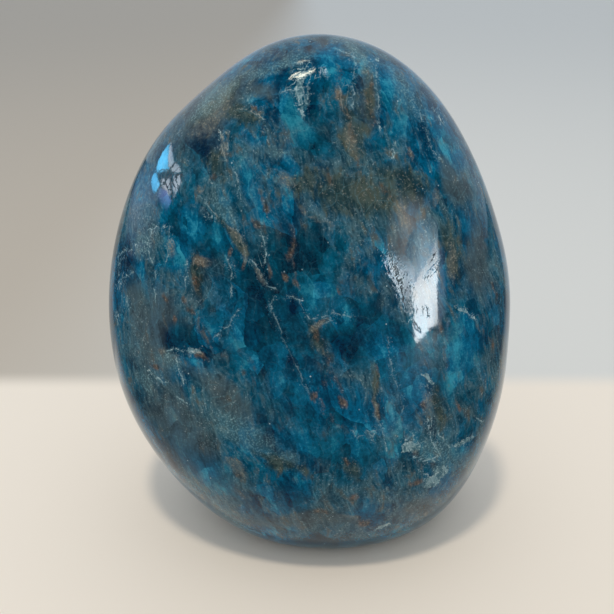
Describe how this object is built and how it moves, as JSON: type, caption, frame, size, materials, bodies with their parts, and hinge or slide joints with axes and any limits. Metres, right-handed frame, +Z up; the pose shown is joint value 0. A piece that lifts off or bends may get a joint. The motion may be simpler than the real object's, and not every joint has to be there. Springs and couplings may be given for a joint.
{
  "type": "blue apatite freeform",
  "caption": "Free-standing polished stone of mottled blue apatite: an upright flattened egg with a rolled, flat ground foot, for display or as a paperweight.",
  "frame": {"origin": "on the resting surface, under the middle of the stone's width and depth", "axes": "+Z up, +X to the right seen from the broad front, -Y out of the broad front"},
  "size_m": [0.0892, 0.0572, 0.1096],
  "materials": {
    "polished_apatite": "high polish"
  },
  "bodies": {
    "root": {"apatite_freeform": "polished_apatite"}
  },
  "joints": []
}
